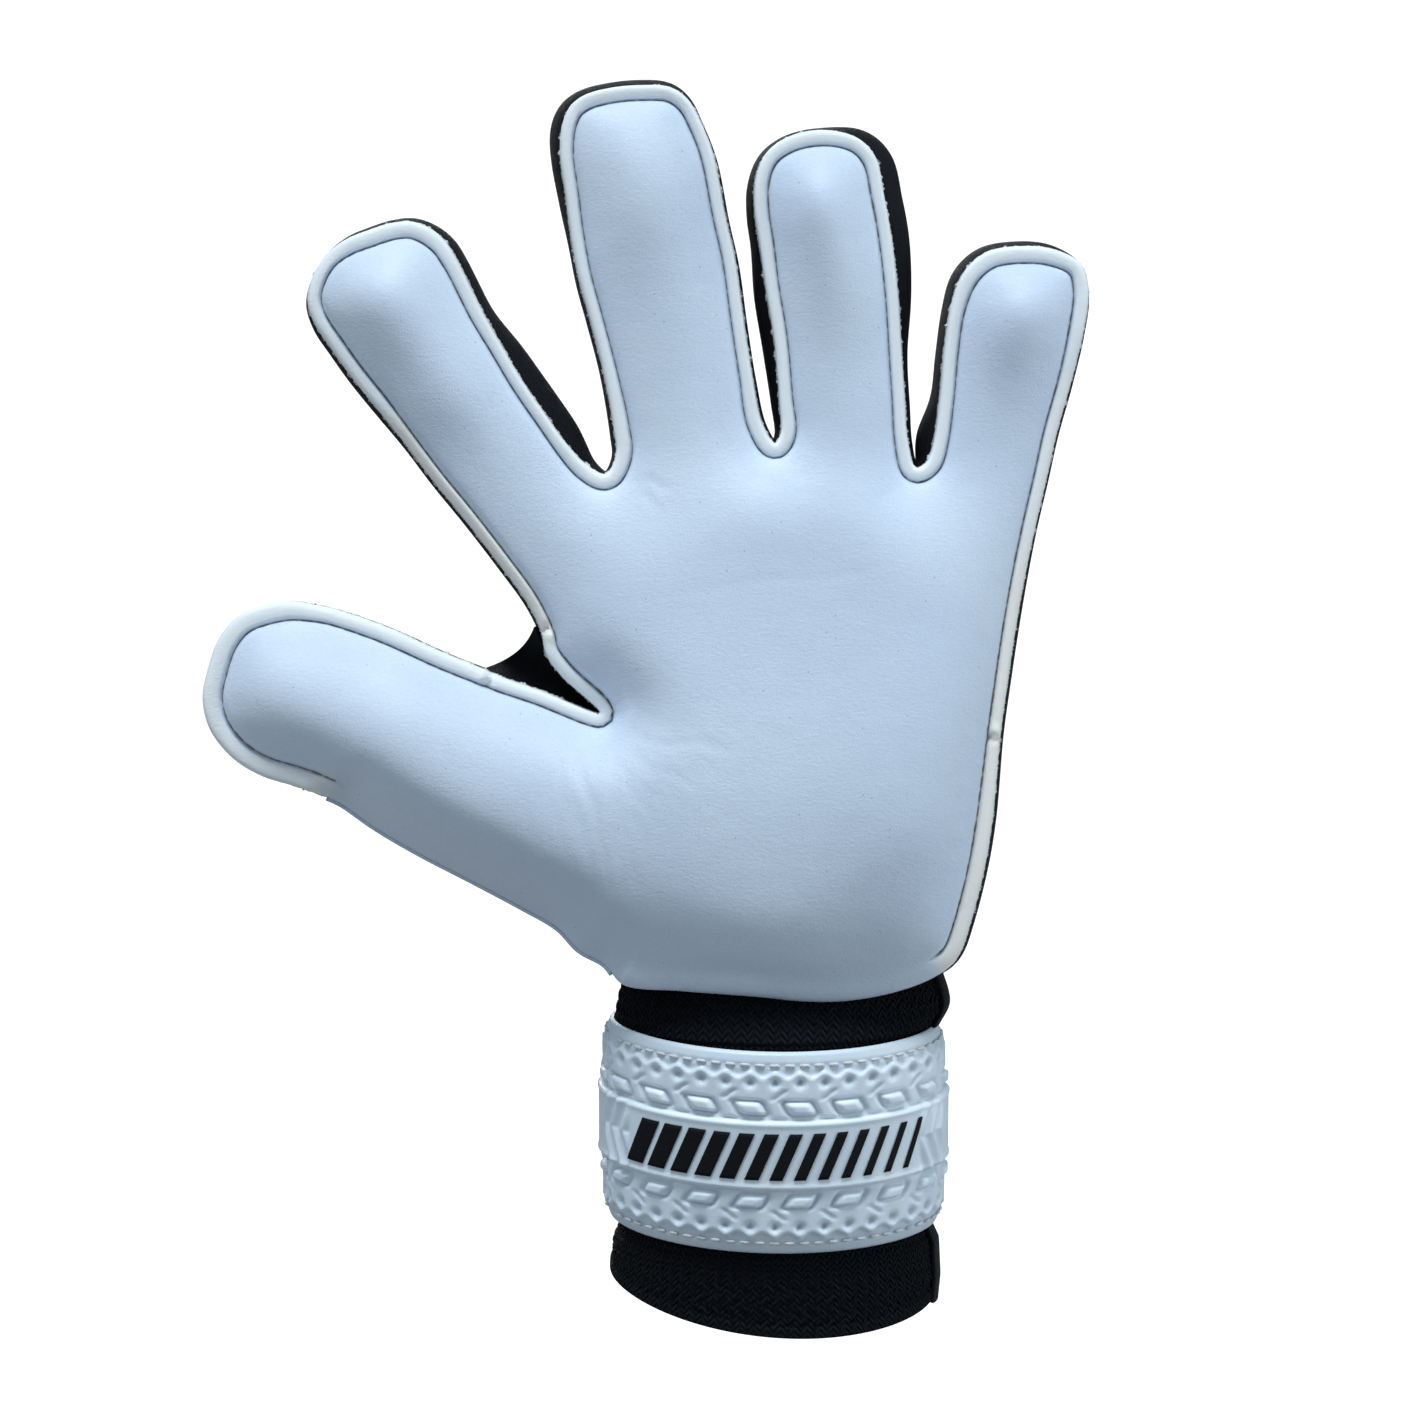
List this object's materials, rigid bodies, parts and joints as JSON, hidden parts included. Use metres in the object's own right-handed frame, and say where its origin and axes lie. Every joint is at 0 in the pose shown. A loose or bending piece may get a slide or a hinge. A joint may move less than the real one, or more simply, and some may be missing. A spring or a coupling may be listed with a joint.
{
  "type": "goalkeeper glove",
  "caption": "Left-hand goalkeeper's glove: flat-cut foam palm, gusseted fingers that bend, knitted wrist cuff and a wrap-round strap that peels open.",
  "frame": {"origin": "middle of the underside of the bounding box, below the wrist opening", "axes": "+Z from the wrist opening to the fingertips, +X from the thumb to the little finger, +Y out of the back of the hand; the palm faces -Y"},
  "size_m": [0.1882, 0.0612, 0.272],
  "materials": {
    "white_latex_foam": "matte, soft grip foam",
    "white_back_panel": "matte embossed sheet",
    "black_mesh_cloth": "matt mesh",
    "white_lining": "brushed",
    "black_knit": "rib knit",
    "white_elastic": "woven elastic",
    "white_soft_plastic": "satin moulded",
    "black_hook_and_loop": "hook and loop pile"
  },
  "bodies": {
    "hand": {"backhand_lining": "white_lining", "backhand_panel": "white_back_panel", "index_middle_web": "black_mesh_cloth", "index_side_gusset": "black_mesh_cloth", "little_side_gusset": "black_mesh_cloth", "middle_ring_web": "black_mesh_cloth", "palm_foam": "white_latex_foam", "palm_lining": "white_lining", "ring_little_web": "black_mesh_cloth", "thumb_web": "black_mesh_cloth"},
    "wrist": {"cuff_seam_tape": "black_knit", "loop_patch": "black_hook_and_loop", "strap_band": "white_elastic", "strap_cover": "white_soft_plastic", "wrist_cuff": "black_knit"},
    "strap_flap": {"strap_flap_band": "white_elastic", "strap_flap_cover": "white_soft_plastic"},
    "strap_tip": {"hook_patch": "black_hook_and_loop", "strap_tip_band": "white_elastic", "strap_tip_cover": "white_soft_plastic"},
    "thumb_base": {"thumb_base_back": "white_back_panel", "thumb_base_gusset": "black_mesh_cloth", "thumb_base_palm_foam": "white_latex_foam", "thumb_wrap_foam": "white_latex_foam"},
    "thumb_tip": {"thumb_tip_back": "white_back_panel", "thumb_tip_gusset": "black_mesh_cloth", "thumb_tip_palm_foam": "white_latex_foam"},
    "index_base": {"index_base_back": "white_back_panel", "index_base_gusset_outer_side": "black_mesh_cloth", "index_base_gusset_thumb_side": "black_mesh_cloth", "index_base_palm_foam": "white_latex_foam"},
    "index_tip": {"index_tip_back": "white_back_panel", "index_tip_gusset": "black_mesh_cloth", "index_tip_palm_foam": "white_latex_foam"},
    "middle_base": {"middle_base_back": "white_back_panel", "middle_base_gusset_outer_side": "black_mesh_cloth", "middle_base_gusset_thumb_side": "black_mesh_cloth", "middle_base_palm_foam": "white_latex_foam"},
    "middle_tip": {"middle_tip_back": "white_back_panel", "middle_tip_gusset": "black_mesh_cloth", "middle_tip_palm_foam": "white_latex_foam"},
    "ring_base": {"ring_base_back": "white_back_panel", "ring_base_gusset_outer_side": "black_mesh_cloth", "ring_base_gusset_thumb_side": "black_mesh_cloth", "ring_base_palm_foam": "white_latex_foam"},
    "ring_tip": {"ring_tip_back": "white_back_panel", "ring_tip_gusset": "black_mesh_cloth", "ring_tip_palm_foam": "white_latex_foam"},
    "little_base": {"little_base_back": "white_back_panel", "little_base_gusset_outer_side": "black_mesh_cloth", "little_base_gusset_thumb_side": "black_mesh_cloth", "little_base_palm_foam": "white_latex_foam"},
    "little_tip": {"little_tip_back": "white_back_panel", "little_tip_gusset": "black_mesh_cloth", "little_tip_palm_foam": "white_latex_foam"}
  },
  "joints": [
    {"name": "wrist_flex", "type": "hinge", "parent": "hand", "child": "wrist", "pos_m": [0.0295, -0.00616, 0.0758], "axis": [1, 0, 0], "range_deg": [-32, 20]},
    {"name": "index_knuckle", "type": "hinge", "parent": "hand", "child": "index_base", "pos_m": [-0.0221, -0.02116, 0.1829], "axis": [0.9511, 0, 0.309], "range_deg": [-10, 75]},
    {"name": "index_middle", "type": "hinge", "parent": "index_base", "child": "index_tip", "pos_m": [-0.03936, -0.02116, 0.20625], "axis": [0.8041, 0, 0.5944], "range_deg": [0, 80]},
    {"name": "middle_knuckle", "type": "hinge", "parent": "hand", "child": "middle_base", "pos_m": [0.0109, -0.02116, 0.1918], "axis": [0.9986, 0, 0.0523], "range_deg": [-10, 75]},
    {"name": "middle_middle", "type": "hinge", "parent": "middle_base", "child": "middle_tip", "pos_m": [0.00502, -0.02116, 0.22527], "axis": [0.9849, 0, 0.173], "range_deg": [0, 80]},
    {"name": "ring_knuckle", "type": "hinge", "parent": "hand", "child": "ring_base", "pos_m": [0.0438, -0.02116, 0.1938], "axis": [1, 0, 0], "range_deg": [-10, 75]},
    {"name": "ring_middle", "type": "hinge", "parent": "ring_base", "child": "ring_tip", "pos_m": [0.04233, -0.02116, 0.22211], "axis": [0.9987, 0, 0.0519], "range_deg": [0, 80]},
    {"name": "little_knuckle", "type": "hinge", "parent": "hand", "child": "little_base", "pos_m": [0.0755, -0.02116, 0.1883], "axis": [0.9962, 0, -0.0872], "range_deg": [-10, 75]},
    {"name": "little_middle", "type": "hinge", "parent": "little_base", "child": "little_tip", "pos_m": [0.0787, -0.02116, 0.20837], "axis": [0.9876, 0, -0.157], "range_deg": [0, 80]},
    {"name": "thumb_base", "type": "hinge", "parent": "hand", "child": "thumb_base", "pos_m": [-0.0068, -0.02116, 0.1048], "axis": [0, 0, 1], "range_deg": [-10, 40]},
    {"name": "thumb_tip", "type": "hinge", "parent": "thumb_base", "child": "thumb_tip", "pos_m": [-0.0511, -0.02116, 0.1314], "axis": [0.3265, 0, 0.9452], "range_deg": [0, 35]},
    {"name": "strap_peel", "type": "hinge", "parent": "wrist", "child": "strap_flap", "pos_m": [-0.0072, -0.00616, 0.0758], "axis": [0, -0.1736, 0.9848], "range_deg": [0, 150]},
    {"name": "strap_curl", "type": "hinge", "parent": "strap_flap", "child": "strap_tip", "pos_m": [0.01578, 0.01963, 0.08034], "axis": [0, -0.1736, 0.9848], "range_deg": [0, 60]}
  ],
  "couplings": [
    {"joint": "strap_curl", "follows": "strap_peel", "ratio": 0.4}
  ]
}
